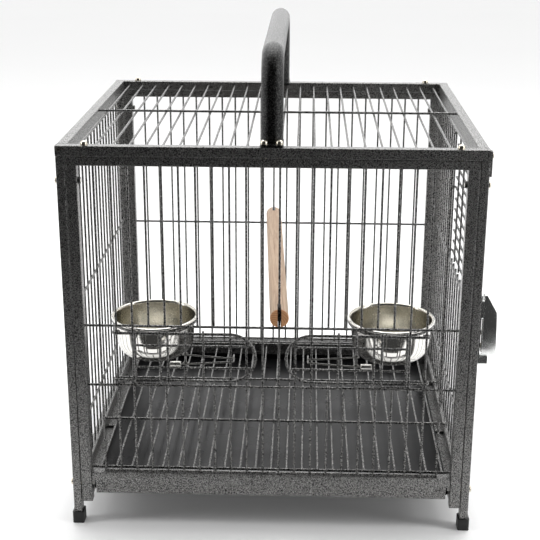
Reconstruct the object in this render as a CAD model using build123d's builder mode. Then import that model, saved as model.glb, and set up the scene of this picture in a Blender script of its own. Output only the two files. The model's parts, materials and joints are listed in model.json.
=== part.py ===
from build123d import *
import os

# Portable bird cage of square tubes and round wires, in millimetres, +Z up.
# Every place below is measured in the cage: x to the right from its middle, y to the rear
# from its front face, z up from the floor.

# Frames
cage_width = 480.0
cage_depth = 443.0
cage_top = 471.5
top_tube = 12.0
tube_wall = 1.0
tube_corner = 1.2
seam = 0.5
rail_height = 10.0
front_post = 12.7
front_post_foot = 29.5
side_post_width = 10.0
low_rail_bottom = 31.0
low_rail_height = 20.0

# Wires and bars of the grilles
wire = 2.6
bar = 3.0
weld_gap = 0.05
loose = 0.35
wire_pitch = 19.0
front_wire_count = 22
top_wire_count = 24
side_wire_count = 18
upper_bar_height = 258.5
lower_bar_height = 183.5
side_upper_bar_height = 271.0
side_lower_bar_height = 113.0
side_wire_inset = 6.0
top_wire_height = 466.0
stub_overhang = 1.5

# Floor grate, tray and its front
grate_wire_count = 23
grate_wire_height = 64.2
grate_front = 18.0
grate_rear = 427.0
grate_bar_count = 4
grate_bar_inset = 2.0
grate_reach = 229.0
ledge_reach = 226.0
support_rod = 4.0
support_height = 38.0
support_depths = (30.0, 190.0, 350.0)
runner_width = 13.0
runner_sheet = 1.2
tray_gap = 0.3
tray_side_gap = 0.6
tray_wall = 1.2
tray_height = 8.6
tray_rear_gap = 2.4
tray_corner = 5.0
front_plate_bottom = 41.5
front_plate_top = 69.0
front_plate_depth = 11.0
front_plate_sheet = 1.0
front_plate_gap = 0.8
notch_width = 4.5
tray_screw_inset = 13.0
tray_screw_height = 50.5

# Bolts, nuts, washers and caps
bolt_shank = 4.0
bolt_hole = 4.4
bolt_head = 8.0
corner_head_height = 2.8
top_head_height = 5.0
top_flange = 9.0
top_flange_height = 1.2
bolt_grip = 18.0
nut_width = 7.0
nut_height = 3.2
washer_width = 9.0
corner_bolt_low = 53.0
corner_bolt_high = 431.0
top_bolt_inset = 32.0
top_bolt_depth = 5.5
handle_bolt_reach = 8.5
cap_wall = 2.0
cap_height = 15.0
cap_floor = 2.0
plug_depth = 8.0
plug_play = 0.1
eyelet_width = 4.4
eyelet_hole = 2.6
eyelet_inset = 4.0

# Handle
handle_tube = 25.0
handle_wall = 1.5
handle_bend = 27.5
handle_height = 581.0
handle_leg_depth = 21.5
handle_foot_sheet = 3.0
handle_foot_width = 26.0
handle_foot_front = 0.5

# Feeder doors
feeder_wire = 3.5
feeder_hinge_number = 9
feeder_near_number = 2
feeder_far_number = 8
feeder_tip = 18.0
feeder_top = 249.5
feeder_bottom = 190.5
feeder_rib = 2.8
feeder_rib_heights = (207.2, 234.8)
feeder_rib_end = 157.0
feeder_uprights = (78.5, 99.5, 120.0)
feeder_upright_reach = 5.0
eye_turn = 240.0
eye_lead = 4.0

# Cups and their hangers
cup_centre = 143.5
cup_depth = 71.0
hanger_wire = 3.0
hanger_spread = 29.0
hanger_foot = 187.0
hanger_bend = 3.0
ring_radius = 51.0
ring_height = 243.0
rim_roll = 2.0
cup_wall = 0.8
cup_bottom = 197.0
cup_foot_radius = 27.0
cup_belly = (39.6, 202.4)
cup_shoulder = (47.0, 217.0)

# Hairpin latches of the feeder doors
hairpin_wire = 2.0
hairpin_play = 0.45
hairpin_middle = 220.0
hairpin_spread = 11.3
hairpin_tip_spread = 4.8
hairpin_tip = 43.4
hairpin_tip_depth = 8.6
hairpin_tail = 17.0
ferrule_width = 6.5
ferrule_length = 13.0
ferrule_start = 5.0

# Perch
perch_diameter = 22.0
perch_slot_length = 20.0
perch_end_inset = 0.5
perch_chamfer = 0.8

# Mesh door in the right side
door_hinge_number = 11
door_low_bar = 277.2
door_bar_pitch = 14.55
door_bar_count = 12
door_edge_depth = 20.0
door_edge_wire = 22.0
door_end_gap = 2.9
door_upright_below = 2.7
door_upright_above = 2.7

# Latch of the mesh door
latch_bottom = 218.0
latch_top = 303.0
latch_width = 12.0
latch_sheet = 1.2
latch_pivot = 292.0
latch_block_height = 11.5
latch_block_depth = 11.0
cam_play = 0.3
cam_sheet = 2.0
cam_width = 8.0
cam_length = 24.0
spindle = 5.0
spindle_play = 0.05
lever_bottom = 231.0
lever_reach = 20.0
lever_wall = 1.2
lever_slope = 1.5
lever_bevel = 21.0
lever_crown = 3.0
latch_screw_head = 6.0
latch_screw_height = 1.5
latch_screw_heights = (240.0, 256.0)
strap_width = 10.0
strap_sheet = 2.5
strap_bottom = 441.0
strap_top = 470.0
strap_screw_height = 464.0
strap_screw_head = 6.0

# Places worked out from the sizes
half_width = cage_width / 2
panel_top = cage_top - top_tube - seam
rail_under = panel_top - rail_height
side_inner = half_width - side_post_width
post_outer = side_inner - seam
post_inner = post_outer - front_post
post_middle = (post_outer + post_inner) / 2
side_post_middle = half_width - side_post_width / 2
front_wire_y = front_post / 2
rear_wire_y = cage_depth - front_post / 2
wire_to_bar = wire / 2 + weld_gap + bar / 2
front_bar_y = front_wire_y - wire_to_bar
rear_bar_y = rear_wire_y + wire_to_bar
side_wire_x = half_width - side_wire_inset
side_bar_x = side_wire_x - wire_to_bar
side_run = cage_depth - 2 * front_post
side_pitch = side_run / (side_wire_count + 1)
low_rail_top = low_rail_bottom + low_rail_height
grille_foot = front_plate_top + loose
foot_bar_height = grille_foot + bar / 2
cap_width = side_post_width + 2 * cap_wall
cap_depth = front_post + 2 * cap_wall
wire_places = [(i - (front_wire_count - 1) / 2) * wire_pitch for i in range(front_wire_count)]
feeder_near = wire_places[front_wire_count // 2 + feeder_near_number]
feeder_far = wire_places[front_wire_count // 2 + feeder_far_number]
feeder_hinge = wire_places[front_wire_count // 2 + feeder_hinge_number]
cut_places = [x for x in wire_places if feeder_near < abs(x) < feeder_far]
whole_places = [x for x in wire_places if x not in cut_places]
feeder_y = front_wire_y - wire / 2 - loose - feeder_wire / 2
upright_y = feeder_y - feeder_wire / 2 - weld_gap - wire / 2
rib_y = upright_y + wire / 2 + weld_gap + feeder_rib / 2
hairpin_eye = wire / 2 + hairpin_play + hairpin_wire / 2
hairpin_y = upright_y - hairpin_eye

# The origin of the part is on the floor, in the middle of everything that it holds
reach_left = half_width + corner_head_height
reach_right = half_width + lever_reach
reach_front = ferrule_width / 2 - hairpin_y
reach_rear = cage_depth + cap_wall
middle_x = (reach_right - reach_left) / 2
middle_y = (reach_rear - reach_front) / 2


def at(x, y, z):
    return Vector(x - middle_x, y - middle_y, z)


def level(z):
    return Plane(origin=at(0, 0, z))


def upright(y):
    return Plane(origin=at(0, y, 0), x_dir=(1, 0, 0), z_dir=(0, -1, 0))


def flank(x):
    return Plane(origin=at(x, 0, 0), x_dir=(0, 1, 0), z_dir=(1, 0, 0))


def tube_section(width, height):
    RectangleRounded(width, height, tube_corner)
    RectangleRounded(width - 2 * tube_wall, height - 2 * tube_wall, tube_corner / 2, mode=Mode.SUBTRACT)


def rods(plane, places, diameter, length):
    with BuildSketch(plane) as ends:
        with Locations(*places):
            Circle(diameter / 2)
    extrude(ends.sketch, amount=length)


def wires_up(places, y, bottom, top):
    rods(level(bottom), [(x, y) for x in places], wire, top - bottom)


def ring(x, y, z, radius, diameter):
    with BuildSketch(Plane(origin=at(x, y - radius, z), x_dir=(0, 1, 0), z_dir=(1, 0, 0))) as end:
        Circle(diameter / 2)
    revolve(end.sketch, axis=Axis(at(x, y, z), (0, 0, 1)), revolution_arc=360)


def round_point(x, y, z, radius, degrees):
    turn = Vector(radius, 0, 0).rotate(Axis.Z, degrees)
    return at(x, y, z) + turn


def open_eye(x, y, z, radius, start, turn):
    ThreePointArc(round_point(x, y, z, radius, start), round_point(x, y, z, radius, start + turn / 2),
                  round_point(x, y, z, radius, start + turn))


os.makedirs("parts", exist_ok=True)

corner_bolt_places = [(y, z) for y in (front_wire_y, rear_wire_y)
                      for z in (corner_bolt_low, corner_bolt_high)]
top_bolt_places = [(x, y) for x in (top_bolt_inset - half_width, half_width - top_bolt_inset)
                   for y in (top_bolt_depth, cage_depth - top_bolt_depth)]
handle_bolt_places = [(x, y) for x in (-handle_bolt_reach, handle_bolt_reach)
                      for y in (top_bolt_depth, cage_depth - top_bolt_depth)]

# Front and rear frames: two posts under a rail, and on the rear a deep rail below
for name, post_y, deep_rail in (("front", front_wire_y, False), ("rear", rear_wire_y, True)):
    with BuildPart() as panel_frame:
        with BuildSketch(level(front_post_foot)):
            with Locations((-post_middle, post_y), (post_middle, post_y)):
                tube_section(front_post, front_post)
        extrude(amount=rail_under - weld_gap - front_post_foot)
        with BuildSketch(flank(-post_outer)):
            with Locations((post_y, corner_bolt_low), (post_y, corner_bolt_high)):
                Circle(bolt_hole / 2)
        extrude(amount=2 * post_outer, mode=Mode.SUBTRACT)
        with BuildSketch(flank(-post_outer)):
            with Locations((post_y, rail_under + rail_height / 2)):
                tube_section(front_post, rail_height)
        extrude(amount=2 * post_outer)
        with BuildSketch(level(panel_top)):
            with Locations(*[place for place in top_bolt_places + handle_bolt_places
                             if abs(place[1] - post_y) < front_post]):
                Circle(bolt_hole / 2)
        extrude(amount=-rail_height / 2, mode=Mode.SUBTRACT)
        if deep_rail:
            with BuildSketch(flank(-(post_inner - weld_gap))):
                with Locations((post_y, (front_plate_bottom + front_plate_top) / 2)):
                    tube_section(front_post, front_plate_top - front_plate_bottom)
            extrude(amount=2 * (post_inner - weld_gap))
    panel_frame.part.label = f"{name}_frame"
    export_step(panel_frame.part, f"parts/{name}_frame.step")

# Side frames: two posts down to the feet, a rail at the top and a deep one at the bottom
for name, side in (("left", -1), ("right", 1)):
    with BuildPart() as side_frame:
        with BuildSketch(level(cap_floor)):
            with Locations((side * side_post_middle, front_wire_y), (side * side_post_middle, rear_wire_y)):
                tube_section(side_post_width, front_post)
        extrude(amount=panel_top - cap_floor)
        with BuildSketch(flank(side * side_inner)):
            with Locations(*corner_bolt_places):
                Circle(bolt_hole / 2)
        extrude(amount=side * side_post_width, mode=Mode.SUBTRACT)
        with BuildSketch(upright(cage_depth - front_post - weld_gap)):
            with Locations((side * side_post_middle, rail_under + rail_height / 2)):
                tube_section(side_post_width, rail_height)
            with Locations((side * side_post_middle, low_rail_bottom + low_rail_height / 2)):
                tube_section(side_post_width, low_rail_height)
        extrude(amount=side_run - 2 * weld_gap)
    side_frame.part.label = f"{name}_frame"
    export_step(side_frame.part, f"parts/{name}_frame.step")

# Top frame: front and rear rails across the whole width, side rails between them
with BuildPart() as top_frame:
    with BuildSketch(flank(-half_width)):
        with Locations((top_tube / 2, cage_top - top_tube / 2),
                       (cage_depth - top_tube / 2, cage_top - top_tube / 2)):
            tube_section(top_tube, top_tube)
    extrude(amount=cage_width)
    with BuildSketch(level(cage_top)):
        with Locations(*(top_bolt_places + handle_bolt_places)):
            Circle(bolt_hole / 2)
    extrude(amount=-top_tube, mode=Mode.SUBTRACT)
    with BuildSketch(upright(0)):
        with Locations((eyelet_inset - half_width, cage_top - eyelet_inset)):
            Circle(eyelet_hole / 2)
        with Locations((half_width - tube_wall - weld_gap - eyelet_inset / 2, cage_top - top_tube / 2)):
            SlotOverall(top_tube / 2, tube_wall, rotation=90)
    extrude(amount=-2 * tube_wall, mode=Mode.SUBTRACT)
    with BuildSketch(upright(cage_depth - top_tube - weld_gap)):
        with Locations((-(half_width - top_tube / 2), cage_top - top_tube / 2),
                       (half_width - top_tube / 2, cage_top - top_tube / 2)):
            tube_section(top_tube, top_tube)
    extrude(amount=cage_depth - 2 * top_tube - 2 * weld_gap)
top_frame.part.label = "top_frame"
export_step(top_frame.part, "parts/top_frame.step")

# Plugs in the open ends of the top rails, and the eyelet of the vent hole
with BuildPart() as end_plugs:
    for side in (-1, 1):
        with BuildSketch(flank(side * half_width)):
            with Locations((top_tube / 2, cage_top - top_tube / 2),
                           (cage_depth - top_tube / 2, cage_top - top_tube / 2)):
                RectangleRounded(top_tube - 2 * (tube_wall + plug_play),
                                 top_tube - 2 * (tube_wall + plug_play), tube_corner / 2)
        extrude(amount=-side * plug_depth)
end_plugs.part.label = "end_plugs"
export_step(end_plugs.part, "parts/end_plugs.step")

with BuildPart() as vent_eyelet:
    with BuildSketch(upright(0)):
        with Locations((eyelet_inset - half_width, cage_top - eyelet_inset)):
            Circle(eyelet_width / 2)
            Circle(eyelet_hole / 2, mode=Mode.SUBTRACT)
    extrude(amount=tube_wall / 2)
vent_eyelet.part.label = "vent_eyelet"
export_step(vent_eyelet.part, "parts/vent_eyelet.step")

# Top grille: wires from front to rear under one bar across them
top_bar_height = top_wire_height + wire_to_bar
with BuildPart() as top_wires:
    rods(upright(cage_depth - top_tube - weld_gap),
         [((i - (top_wire_count - 1) / 2) * wire_pitch, top_wire_height) for i in range(top_wire_count)],
         wire, cage_depth - 2 * top_tube - 2 * weld_gap)
    rods(flank(-(half_width - top_tube - weld_gap)), [(cage_depth / 2, top_bar_height)], bar,
         cage_width - 2 * top_tube - 2 * weld_gap)
top_wires.part.label = "top_wires"
export_step(top_wires.part, "parts/top_wires.step")

# Front grille: wires behind three bars, cut short above and below the two feeder openings
foot_bar_reach = wire_places[-1] + wire / 2
bar_reach = post_inner - weld_gap
with BuildPart() as front_grille:
    wires_up(whole_places, front_wire_y, grille_foot, rail_under - weld_gap)
    wires_up(cut_places, front_wire_y, upper_bar_height - stub_overhang, rail_under - weld_gap)
    wires_up(cut_places, front_wire_y, grille_foot, lower_bar_height + stub_overhang)
    rods(flank(-bar_reach), [(front_bar_y, upper_bar_height), (front_bar_y, lower_bar_height)],
         bar, 2 * bar_reach)
    rods(flank(-foot_bar_reach), [(front_bar_y, foot_bar_height)], bar, 2 * foot_bar_reach)
front_grille.part.label = "front_grille"
export_step(front_grille.part, "parts/front_grille.step")

# Rear grille: whole wires, with two bars outside them
with BuildPart() as rear_grille:
    wires_up(wire_places, rear_wire_y, front_plate_top + weld_gap, rail_under - weld_gap)
    rods(flank(-bar_reach), [(rear_bar_y, upper_bar_height)], bar, 2 * bar_reach)
    rods(flank(-foot_bar_reach), [(rear_bar_y, foot_bar_height)], bar, 2 * foot_bar_reach)
rear_grille.part.label = "rear_grille"
export_step(rear_grille.part, "parts/rear_grille.step")

# Side grilles: wires outside two bars, cut short in the right side under its mesh door
side_places = [front_post + (i + 1) * side_pitch for i in range(side_wire_count)]
door_cut_places = side_places[:door_hinge_number - 1]
door_hinge_y = side_places[door_hinge_number - 1]
for name, side, short_places in (("left", -1, []), ("right", 1, door_cut_places)):
    with BuildPart() as side_grille:
        rods(level(low_rail_top + weld_gap),
             [(side * side_wire_x, y) for y in side_places if y not in short_places],
             wire, rail_under - low_rail_top - 2 * weld_gap)
        if short_places:
            rods(level(low_rail_top + weld_gap), [(side * side_wire_x, y) for y in short_places], wire,
                 side_upper_bar_height + bar / 2 - low_rail_top)
        rods(upright(cage_depth - front_post - weld_gap),
             [(side * side_bar_x, side_upper_bar_height), (side * side_bar_x, side_lower_bar_height)],
             bar, side_run - 2 * weld_gap)
    side_grille.part.label = f"{name}_grille"
    export_step(side_grille.part, f"parts/{name}_grille.step")

# Floor grate: wires from front to rear under four bars, whose ends lie on two ledge rods
grate_bar_height = grate_wire_height + wire_to_bar
grate_bar_first = grate_front + grate_bar_inset
grate_bar_pitch = (grate_rear - grate_front - 2 * grate_bar_inset) / (grate_bar_count - 1)
with BuildPart() as floor_grate:
    rods(upright(grate_rear),
         [((i - (grate_wire_count - 1) / 2) * wire_pitch, grate_wire_height)
          for i in range(grate_wire_count)],
         wire, grate_rear - grate_front)
    rods(flank(-grate_reach),
         [(grate_bar_first + i * grate_bar_pitch, grate_bar_height) for i in range(grate_bar_count)],
         bar, 2 * grate_reach)
floor_grate.part.label = "floor_grate"
export_step(floor_grate.part, "parts/floor_grate.step")

ledge_height = grate_bar_height - bar - weld_gap
with BuildPart() as grate_ledges:
    rods(upright(cage_depth - front_post - weld_gap),
         [(-ledge_reach, ledge_height), (ledge_reach, ledge_height)], bar, side_run - 2 * weld_gap)
grate_ledges.part.label = "grate_ledges"
export_step(grate_ledges.part, "parts/grate_ledges.step")

with BuildPart() as tray_supports:
    rods(flank(-(side_inner - weld_gap)), [(depth, support_height) for depth in support_depths], support_rod,
         2 * (side_inner - weld_gap))
tray_supports.part.label = "tray_supports"
export_step(tray_supports.part, "parts/tray_supports.step")

# Runners: strips along the side frames that close the gaps beside the tray
with BuildPart() as tray_runners:
    with BuildSketch(level(support_height - support_rod / 2 - weld_gap)):
        for side in (-1, 1):
            with Locations((side * (side_inner - weld_gap - runner_width / 2), cage_depth / 2)):
                Rectangle(runner_width, side_run - 2 * weld_gap)
    extrude(amount=-runner_sheet)
tray_runners.part.label = "tray_runners"
export_step(tray_runners.part, "parts/tray_runners.step")

# Tray: a shallow pan on the support rods, behind a bent front plate
tray_half = post_inner - tray_side_gap
tray_bottom = support_height + support_rod / 2 + tray_gap
tray_top = tray_bottom + tray_height
tray_front_y = front_plate_sheet + front_plate_depth
tray_rear_y = cage_depth - front_post - tray_rear_gap
tray_middle_y = (tray_front_y + tray_rear_y) / 2
tray_length = tray_rear_y - tray_front_y
with BuildPart() as tray:
    with BuildSketch(level(tray_bottom)):
        with Locations((0, tray_middle_y)):
            RectangleRounded(2 * tray_half, tray_length, tray_corner)
    extrude(amount=tray_height)
    with BuildSketch(level(tray_bottom + tray_wall)):
        with Locations((0, tray_middle_y)):
            RectangleRounded(2 * (tray_half - tray_wall), tray_length - 2 * tray_wall,
                             tray_corner - tray_wall)
    extrude(amount=tray_height, mode=Mode.SUBTRACT)
tray.part.label = "tray"
export_step(tray.part, "parts/tray.step")

# Front plate of the tray: a channel with its lower corners cut out round the nuts of the posts
plate_half = post_inner - front_plate_gap
notch_top = corner_bolt_low + nut_width / 2 + loose
with BuildPart() as tray_front:
    with BuildSketch(flank(-plate_half)):
        with BuildLine():
            Polyline((0, front_plate_bottom), (tray_front_y, front_plate_bottom), (tray_front_y, tray_top),
                     (tray_front_y - front_plate_sheet, tray_top),
                     (tray_front_y - front_plate_sheet, front_plate_bottom + front_plate_sheet),
                     (front_plate_sheet, front_plate_bottom + front_plate_sheet),
                     (front_plate_sheet, front_plate_top - front_plate_sheet),
                     (tray_front_y, front_plate_top - front_plate_sheet), (tray_front_y, front_plate_top),
                     (0, front_plate_top), close=True)
        make_face()
    extrude(amount=2 * plate_half)
    for side in (-1, 1):
        with BuildSketch(upright(tray_front_y)):
            with Locations((side * (plate_half - notch_width / 2), (front_plate_bottom + notch_top) / 2)):
                Rectangle(notch_width, notch_top - front_plate_bottom)
        extrude(amount=tray_front_y, mode=Mode.SUBTRACT)
    with BuildSketch(upright(0)):
        with Locations((tray_screw_inset - plate_half, tray_screw_height),
                       (plate_half - tray_screw_inset, tray_screw_height)):
            Circle(bolt_shank / 2 + weld_gap)
    extrude(amount=-front_plate_sheet, mode=Mode.SUBTRACT)
tray_front.part.label = "tray_front"
export_step(tray_front.part, "parts/tray_front.step")

with BuildPart() as tray_screws:
    for depth, width in ((0, bolt_head * 0.7), (front_plate_sheet, bolt_shank)):
        with BuildSketch(upright(depth)):
            with Locations((tray_screw_inset - plate_half, tray_screw_height),
                           (plate_half - tray_screw_inset, tray_screw_height)):
                Circle(width / 2)
        extrude(amount=front_plate_sheet)
tray_screws.part.label = "tray_screws"
export_step(tray_screws.part, "parts/tray_screws.step")

# Rubber caps on the feet of the side posts
with BuildPart() as foot_caps:
    cap_places = [(x, y) for x in (-side_post_middle, side_post_middle) for y in (front_wire_y, rear_wire_y)]
    with BuildSketch(level(0)):
        with Locations(*cap_places):
            RectangleRounded(cap_width, cap_depth, tube_corner + cap_wall / 2)
    extrude(amount=cap_height)
    with BuildSketch(level(cap_floor)):
        with Locations(*cap_places):
            RectangleRounded(side_post_width, front_post, tube_corner)
    extrude(amount=cap_height, mode=Mode.SUBTRACT)
foot_caps.part.label = "foot_caps"
export_step(foot_caps.part, "parts/foot_caps.step")

# Bolts down through the top frame, with their flanged heads on the frame or on the handle feet
for name, places, seat in (("top_bolts", top_bolt_places, cage_top),
                           ("handle_bolts", handle_bolt_places, cage_top + handle_foot_sheet)):
    with BuildPart() as down_bolts:
        with BuildSketch(level(seat)):
            with Locations(*places):
                Circle(bolt_head / 2)
        extrude(amount=top_head_height)
        fillet(down_bolts.faces().group_by(Axis.Z)[-1].edges(), bolt_head * 0.4)
        with BuildSketch(level(seat)):
            with Locations(*places):
                Circle(top_flange / 2)
        extrude(amount=top_flange_height)
        with BuildSketch(level(seat)):
            with Locations(*places):
                Circle(bolt_shank / 2)
        extrude(amount=cage_top - bolt_grip - seat)
    down_bolts.part.label = name
    export_step(down_bolts.part, f"parts/{name}.step")

# Bolts in from the sides through both posts of each corner, with their nuts and washers
shank_length = side_post_width + seam + front_post + nut_height
with BuildPart() as corner_bolts:
    for side in (-1, 1):
        with BuildSketch(flank(side * half_width)):
            with Locations(*corner_bolt_places):
                Circle(bolt_head / 2)
        extrude(amount=side * corner_head_height)
    fillet(corner_bolts.faces().group_by(Axis.X)[0].edges(), corner_head_height * 0.7)
    fillet(corner_bolts.faces().group_by(Axis.X)[-1].edges(), corner_head_height * 0.7)
    for side in (-1, 1):
        with BuildSketch(flank(side * half_width)):
            with Locations(*corner_bolt_places):
                Circle(bolt_shank / 2)
        extrude(amount=-side * shank_length)
corner_bolts.part.label = "corner_bolts"
export_step(corner_bolts.part, "parts/corner_bolts.step")

with BuildPart() as corner_nuts:
    for side in (-1, 1):
        with BuildSketch(flank(side * (post_inner - weld_gap))):
            with Locations(*corner_bolt_places):
                RegularPolygon(nut_width / 2, 6, major_radius=False, rotation=30)
                Circle(bolt_shank / 2 + weld_gap, mode=Mode.SUBTRACT)
        extrude(amount=-side * (nut_height - weld_gap))
corner_nuts.part.label = "corner_nuts"
export_step(corner_nuts.part, "parts/corner_nuts.step")

with BuildPart() as spacer_washers:
    with BuildSketch(level(panel_top)):
        with Locations(*(top_bolt_places + handle_bolt_places)):
            Circle(washer_width / 2)
            Circle(bolt_hole / 2, mode=Mode.SUBTRACT)
    extrude(amount=seam)
    for side in (-1, 1):
        with BuildSketch(flank(side * post_outer)):
            with Locations(*corner_bolt_places):
                Circle(washer_width / 2)
                Circle(bolt_hole / 2, mode=Mode.SUBTRACT)
        extrude(amount=side * seam)
spacer_washers.part.label = "spacer_washers"
export_step(spacer_washers.part, "parts/spacer_washers.step")

# Handle: one bent tube whose legs stand on two bolted foot plates
handle_seat = cage_top + handle_foot_sheet
handle_line_height = handle_height - handle_tube / 2
handle_start = at(0, handle_leg_depth, handle_seat)
with BuildPart() as handle:
    with BuildLine() as handle_path:
        FilletPolyline(handle_start, at(0, handle_leg_depth, handle_line_height),
                       at(0, cage_depth - handle_leg_depth, handle_line_height),
                       at(0, cage_depth - handle_leg_depth, handle_seat), radius=handle_bend)
    with BuildSketch(Plane(origin=handle_start)):
        Circle(handle_tube / 2)
        Circle(handle_tube / 2 - handle_wall, mode=Mode.SUBTRACT)
    sweep(path=handle_path.wires()[0])
handle.part.label = "handle"
export_step(handle.part, "parts/handle.step")

foot_rear = handle_leg_depth + handle_tube / 2 + handle_foot_front
with BuildPart() as handle_feet:
    with BuildSketch(level(cage_top)):
        with Locations((0, (handle_foot_front + foot_rear) / 2),
                       (0, cage_depth - (handle_foot_front + foot_rear) / 2)):
            RectangleRounded(handle_foot_width, foot_rear - handle_foot_front, 3)
        with Locations(*handle_bolt_places):
            Circle(bolt_hole / 2, mode=Mode.SUBTRACT)
    extrude(amount=handle_foot_sheet)
handle_feet.part.label = "handle_feet"
export_step(handle_feet.part, "parts/handle_feet.step")

# Perch: a dowel whose slotted ends straddle one wire of the front and one of the rear
perch_height = upper_bar_height + bar / 2 + loose + perch_diameter / 2
perch_slot = wire + 2 * loose
perch_front_wire = at(wire_pitch / 2, front_wire_y, perch_height)
perch_rear_wire = at(-wire_pitch / 2, rear_wire_y, perch_height)
perch_run = (perch_rear_wire - perch_front_wire).normalized()
perch_start = perch_front_wire - perch_run * (front_wire_y - perch_end_inset)
perch_length = (perch_rear_wire - perch_front_wire).length + 2 * (front_wire_y - perch_end_inset)
perch_plane = Plane(origin=perch_start, x_dir=perch_run.cross(Vector(0, 0, 1)), z_dir=perch_run)
with BuildPart() as perch:
    with BuildSketch(perch_plane):
        Circle(perch_diameter / 2)
    extrude(amount=perch_length)
    chamfer(perch.edges().filter_by(GeomType.CIRCLE), perch_chamfer)
    for slot_start in (0, perch_length - perch_slot_length):
        with BuildSketch(perch_plane.offset(slot_start)):
            Rectangle(perch_slot, 2 * perch_diameter)
        extrude(amount=perch_slot_length, mode=Mode.SUBTRACT)
perch.part.label = "perch"
export_step(perch.part, "parts/perch.step")

# Right feeder door: one bent wire with an open eye at each end, three uprights and two ribs
feeder_middle = (feeder_top + feeder_bottom) / 2
feeder_radius = (feeder_top - feeder_bottom) / 2
feeder_eye = wire / 2 + loose + feeder_wire / 2
hook_reach = feeder_wire / 2 + weld_gap + hanger_wire / 2
hanger_y = feeder_y - hook_reach
hook_y = feeder_y + hook_reach
hook_top = feeder_top + hook_reach
near_leg = cup_centre - hanger_spread / 2
far_leg = cup_centre + hanger_spread / 2
leg_end_y = cup_depth - (ring_radius ** 2 - (hanger_spread / 2) ** 2) ** 0.5
rim_height = ring_height + hanger_wire / 2 + loose + rim_roll
neck_radius = ring_radius - hanger_wire / 2 - loose
roll_radius = neck_radius + rim_roll + 0.2
hairpin_high = hairpin_middle + hairpin_spread / 2
hairpin_low = hairpin_middle - hairpin_spread / 2
tip_high = hairpin_middle + hairpin_tip_spread / 2
tip_low = hairpin_middle - hairpin_tip_spread / 2
hairpin_pivot = feeder_uprights[1]
tip_start = hairpin_tip + 3 * hairpin_wire

with BuildPart() as feeder_door:
    with BuildLine() as loop_path:
        open_eye(feeder_hinge, front_wire_y, feeder_top, feeder_eye, eye_turn - 90, -eye_turn)
        Line(at(feeder_hinge, feeder_y, feeder_top), at(feeder_tip + feeder_radius, feeder_y, feeder_top))
        ThreePointArc(at(feeder_tip + feeder_radius, feeder_y, feeder_top),
                      at(feeder_tip, feeder_y, feeder_middle),
                      at(feeder_tip + feeder_radius, feeder_y, feeder_bottom))
        Line(at(feeder_tip + feeder_radius, feeder_y, feeder_bottom),
             at(feeder_hinge, feeder_y, feeder_bottom))
        open_eye(feeder_hinge, front_wire_y, feeder_bottom, feeder_eye, -90, eye_turn)
    with BuildSketch(Plane(origin=loop_path.wires()[0] @ 0, z_dir=loop_path.wires()[0] % 0)):
        Circle(feeder_wire / 2)
    sweep(path=loop_path.wires()[0])
    rods(level(feeder_bottom - feeder_upright_reach), [(x, upright_y) for x in feeder_uprights],
         wire, feeder_top - feeder_bottom + 2 * feeder_upright_reach)
    for rib_height in feeder_rib_heights:
        rib_rise = abs(rib_height - feeder_middle) + feeder_rib / 2
        rib_reach = ((feeder_radius - feeder_wire / 2) ** 2 - rib_rise ** 2) ** 0.5
        rib_start = feeder_tip + feeder_radius - rib_reach
        rods(flank(rib_start + weld_gap), [(rib_y, rib_height)], feeder_rib, feeder_rib_end - rib_start)
feeder_door.part.label = "feeder_door_right"
export_step(feeder_door.part, "parts/feeder_door_right.step")

# Hanger: up the front of the door, over its top bar and back to a ring under the rim of the cup
with BuildPart() as cup_hanger:
    with BuildLine() as hanger_path:
        FilletPolyline(at(near_leg, leg_end_y, ring_height), at(near_leg, hook_y, ring_height),
                       at(near_leg, hook_y, hook_top), at(near_leg, hanger_y, hook_top),
                       at(near_leg, hanger_y, hanger_foot), at(far_leg, hanger_y, hanger_foot),
                       at(far_leg, hanger_y, hook_top), at(far_leg, hook_y, hook_top),
                       at(far_leg, hook_y, ring_height), at(far_leg, leg_end_y, ring_height),
                       radius=hanger_bend)
    with BuildSketch(Plane(origin=at(near_leg, leg_end_y, ring_height), z_dir=(0, -1, 0))):
        Circle(hanger_wire / 2)
    sweep(path=hanger_path.wires()[0])
    ring(cup_centre, cup_depth, ring_height, ring_radius, hanger_wire)
cup_hanger.part.label = "cup_hanger_right"
export_step(cup_hanger.part, "parts/cup_hanger_right.step")

# Cup: a spun bowl with a rolled rim
with BuildPart() as cup:
    with BuildSketch(Plane(origin=at(cup_centre, cup_depth, 0), x_dir=(1, 0, 0), z_dir=(0, -1, 0))):
        with BuildLine():
            cup_foot = Line((0, cup_bottom), (cup_foot_radius, cup_bottom))
            belly = ThreePointArc(cup_foot @ 1, cup_belly, cup_shoulder)
            neck = Line(belly @ 1, (neck_radius, ring_height + hanger_wire / 2))
            lip = Line(neck @ 1, (roll_radius - rim_roll / 2, rim_height + rim_roll / 2))
            lip_inside = Line(lip @ 1, (roll_radius - rim_roll / 2 - cup_wall, rim_height + rim_roll / 2))
            neck_inside = Line(lip_inside @ 1, (neck_radius - cup_wall, ring_height + hanger_wire / 2))
            wall_inside = Line(neck_inside @ 1, (cup_shoulder[0] - cup_wall, cup_shoulder[1] + cup_wall / 4))
            belly_inside = ThreePointArc(wall_inside @ 1,
                                         (cup_belly[0] - cup_wall / 2, cup_belly[1] + cup_wall * 0.7),
                                         (cup_foot_radius, cup_bottom + cup_wall))
            foot_inside = Line(belly_inside @ 1, (0, cup_bottom + cup_wall))
            Line(foot_inside @ 1, cup_foot @ 0)
        make_face()
        with Locations((roll_radius, rim_height)):
            Circle(rim_roll)
    revolve(axis=Axis(at(cup_centre, cup_depth, 0), (0, 0, 1)), revolution_arc=360)
cup.part.label = "cup_right"
export_step(cup.part, "parts/cup_right.step")

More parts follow.
